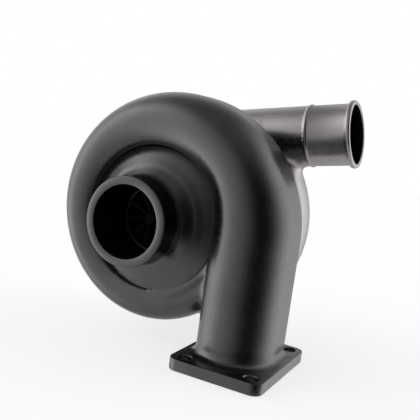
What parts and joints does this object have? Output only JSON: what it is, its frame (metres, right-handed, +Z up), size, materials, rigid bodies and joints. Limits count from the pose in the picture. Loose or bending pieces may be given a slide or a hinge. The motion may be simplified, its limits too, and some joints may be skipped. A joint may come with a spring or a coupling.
{
  "type": "turbocharger",
  "caption": "Exhaust-driven supercharger: dark scroll turbine housing on a rectangular foot flange, bearing housing, spinning rotor and an aluminium compressor with a beaded outlet tube.",
  "frame": {"origin": "centre of the bottom face of the turbine inlet flange", "axes": "+Z up out of the flange along the leg; the rotor turns about Y, with the turbine outlet facing -Y and the compressor inlet facing +Y; the compressor outlet points to +X and a little up"},
  "size_m": [0.2317, 0.2056, 0.222],
  "materials": {
    "turbine_casting": "dark graphite satin high-temperature coating on cast iron",
    "compressor_casting": "satin warm grey cast aluminium",
    "bearing_casting": "bare sand-cast iron, machined at its faces",
    "turbine_alloy": "heat-tinted nickel alloy casting",
    "compressor_wheel_alloy": "machined aluminium",
    "machined_aluminium": "turned aluminium",
    "ground_steel": "ground alloy steel",
    "shield_steel": "pressed stainless steel, heat-tinted",
    "bearing_bronze": "turned bearing bronze",
    "fastener_steel": "zinc-flake coated steel",
    "plate_steel": "black phosphated steel plate",
    "seal_rubber": "matt black rubber"
  },
  "bodies": {
    "housing": {"turbine_housing": "turbine_casting", "turbine_heat_shield": "shield_steel", "bearing_housing": "bearing_casting", "bearing_snap_rings": "ground_steel", "thrust_bearing": "bearing_bronze", "oil_deflector": "shield_steel", "turbine_seal_ring": "ground_steel", "compressor_seal_ring": "ground_steel", "compressor_backplate": "machined_aluminium", "backplate_screws": "fastener_steel", "backplate_o_ring": "seal_rubber", "compressor_o_ring": "seal_rubber", "compressor_housing": "compressor_casting", "turbine_clamp_bolts": "fastener_steel", "compressor_clamp_bolts": "fastener_steel", "turbine_clamp_plate_1": "plate_steel", "compressor_clamp_plate_1": "plate_steel", "turbine_clamp_plate_2": "plate_steel", "compressor_clamp_plate_2": "plate_steel", "turbine_clamp_plate_3": "plate_steel", "compressor_clamp_plate_3": "plate_steel"},
    "rotor": {"rotor_shaft": "ground_steel", "turbine_wheel": "turbine_alloy", "thrust_washer": "ground_steel", "thrust_collar": "ground_steel", "oil_flinger": "ground_steel", "compressor_wheel": "compressor_wheel_alloy", "shaft_nut": "fastener_steel"},
    "turbine_side_bearing": {"turbine_side_journal_bearing": "bearing_bronze"},
    "compressor_side_bearing": {"compressor_side_journal_bearing": "bearing_bronze"}
  },
  "joints": [
    {"name": "rotor_spin", "type": "hinge", "parent": "housing", "child": "rotor", "pos_m": [-0.0867, 0.05, 0.1028], "axis": [0, -1, 0], "continuous": true},
    {"name": "turbine_side_bearing_spin", "type": "hinge", "parent": "housing", "child": "turbine_side_bearing", "pos_m": [-0.0867, 0.0255, 0.1028], "axis": [0, -1, 0], "continuous": true},
    {"name": "compressor_side_bearing_spin", "type": "hinge", "parent": "housing", "child": "compressor_side_bearing", "pos_m": [-0.0867, 0.039, 0.1028], "axis": [0, -1, 0], "continuous": true}
  ]
}
